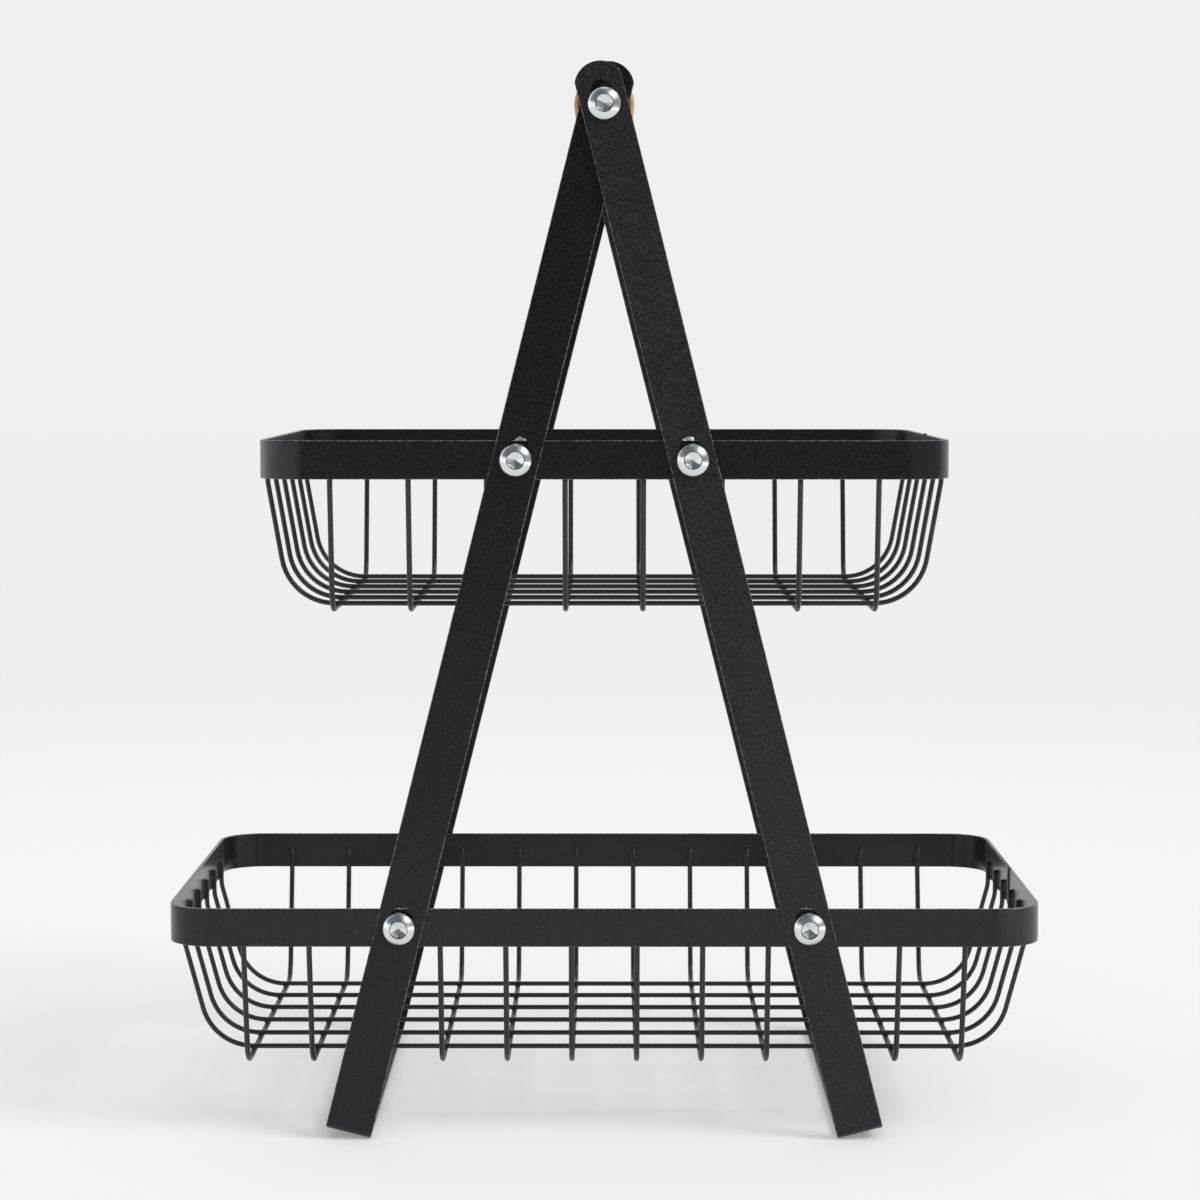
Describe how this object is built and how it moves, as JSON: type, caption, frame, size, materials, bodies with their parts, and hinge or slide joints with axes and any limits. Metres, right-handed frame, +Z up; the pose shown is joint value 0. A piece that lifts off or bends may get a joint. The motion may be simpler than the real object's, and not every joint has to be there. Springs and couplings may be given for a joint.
{
  "type": "tiered wire basket",
  "caption": "Tiered open wire baskets with flat-strip rims, bolted between two leaning flat-bar leg frames under a round wooden carrying handle.",
  "frame": {"origin": "on the floor, under the middle of the stand", "axes": "X from left to right along the baskets, Y from front to rear along the handle, Z up"},
  "size_m": [0.377, 0.2334, 0.4598],
  "materials": {
    "black_powder_coat": "fine-grained black powder coat on flat steel bar and strip",
    "black_wire": "satin black coated steel wire",
    "zinc_plate": "bright zinc-plated steel",
    "beech": "plain sanded beech with a thin clear finish"
  },
  "bodies": {
    "stand": {"left_leg_frame": "black_powder_coat", "right_leg_frame": "black_powder_coat", "lower_rim": "black_powder_coat", "upper_rim": "black_powder_coat", "lower_cross_wire_1": "black_wire", "lower_cross_wire_2": "black_wire", "lower_cross_wire_3": "black_wire", "lower_cross_wire_4": "black_wire", "lower_cross_wire_5": "black_wire", "lower_cross_wire_6": "black_wire", "lower_cross_wire_7": "black_wire", "lower_cross_wire_8": "black_wire", "lower_cross_wire_9": "black_wire", "lower_cross_wire_10": "black_wire", "lower_cross_wire_11": "black_wire", "lower_cross_wire_12": "black_wire", "lower_long_wire_1": "black_wire", "lower_long_wire_2": "black_wire", "lower_long_wire_3": "black_wire", "lower_long_wire_4": "black_wire", "lower_long_wire_5": "black_wire", "lower_long_wire_6": "black_wire", "upper_cross_wire_1": "black_wire", "upper_cross_wire_2": "black_wire", "upper_cross_wire_3": "black_wire", "upper_cross_wire_4": "black_wire", "upper_cross_wire_5": "black_wire", "upper_cross_wire_6": "black_wire", "upper_cross_wire_7": "black_wire", "upper_cross_wire_8": "black_wire", "upper_long_wire_1": "black_wire", "upper_long_wire_2": "black_wire", "upper_long_wire_3": "black_wire", "upper_long_wire_4": "black_wire", "upper_long_wire_5": "black_wire", "upper_long_wire_6": "black_wire", "lower_basket_screws": "zinc_plate", "lower_basket_nuts": "zinc_plate", "upper_basket_screws": "zinc_plate", "upper_basket_nuts": "zinc_plate"},
    "handle": {"handle_dowel": "beech", "handle_inserts": "zinc_plate", "handle_screws": "zinc_plate"}
  },
  "joints": [
    {"name": "handle_turn", "type": "hinge", "parent": "stand", "child": "handle", "pos_m": [0, 0, 0.442], "axis": [0, 1, 0], "continuous": true}
  ]
}
